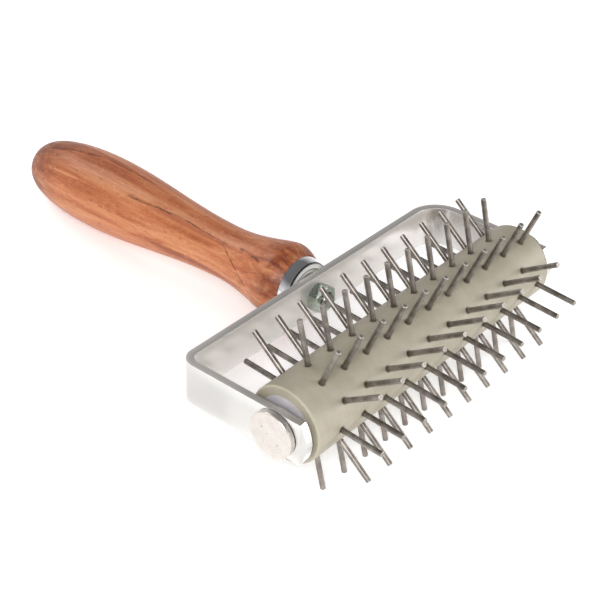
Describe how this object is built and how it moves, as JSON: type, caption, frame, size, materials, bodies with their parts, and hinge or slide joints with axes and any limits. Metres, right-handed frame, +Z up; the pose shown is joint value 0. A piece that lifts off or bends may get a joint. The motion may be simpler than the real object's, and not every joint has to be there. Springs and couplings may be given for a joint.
{
  "type": "dough docker",
  "caption": "Hand-held dough docker: a spiked roller turns on an axle in a bent strip yoke that is screwed to a turned wooden handle.",
  "frame": {"origin": "on the table, under the middle of the tool's length and width, as it rests on its lowest pins and the handle's bulb", "axes": "+X along the axle towards the hidden end cap, +Y along the handle towards its butt, +Z up from the table"},
  "size_m": [0.148, 0.2202, 0.0606],
  "materials": {
    "handle_wood": "lacquered",
    "polished_ferrule": "mirror polished",
    "stud_steel": "threaded, plain",
    "washer_steel": "satin",
    "zinc_nut": "zinc plated",
    "yoke_steel": "polished faces, satin edges",
    "axle_steel": "turned, polished",
    "roller_plastic": "turned, satin",
    "disc_steel": "satin",
    "pin_steel": "drawn wire"
  },
  "bodies": {
    "frame": {"handle": "handle_wood", "ferrule": "polished_ferrule", "handle_stud": "stud_steel", "stud_washer": "washer_steel", "stud_nut": "zinc_nut", "yoke": "yoke_steel", "axle_pin": "axle_steel", "axle_end_cap": "axle_steel", "left_thrust_washer": "washer_steel", "right_thrust_washer": "washer_steel"},
    "roller": {"roller": "roller_plastic", "left_end_disc": "disc_steel", "right_end_disc": "disc_steel", "pin_row_01": "pin_steel", "pin_row_02": "pin_steel", "pin_row_03": "pin_steel", "pin_row_04": "pin_steel", "pin_row_05": "pin_steel", "pin_row_06": "pin_steel", "pin_row_07": "pin_steel", "pin_row_08": "pin_steel", "pin_row_09": "pin_steel", "pin_row_10": "pin_steel"}
  },
  "joints": [
    {"name": "roller_spin", "type": "hinge", "parent": "frame", "child": "roller", "pos_m": [0, -0.07874, 0.03028], "axis": [1, 0, 0], "continuous": true}
  ]
}
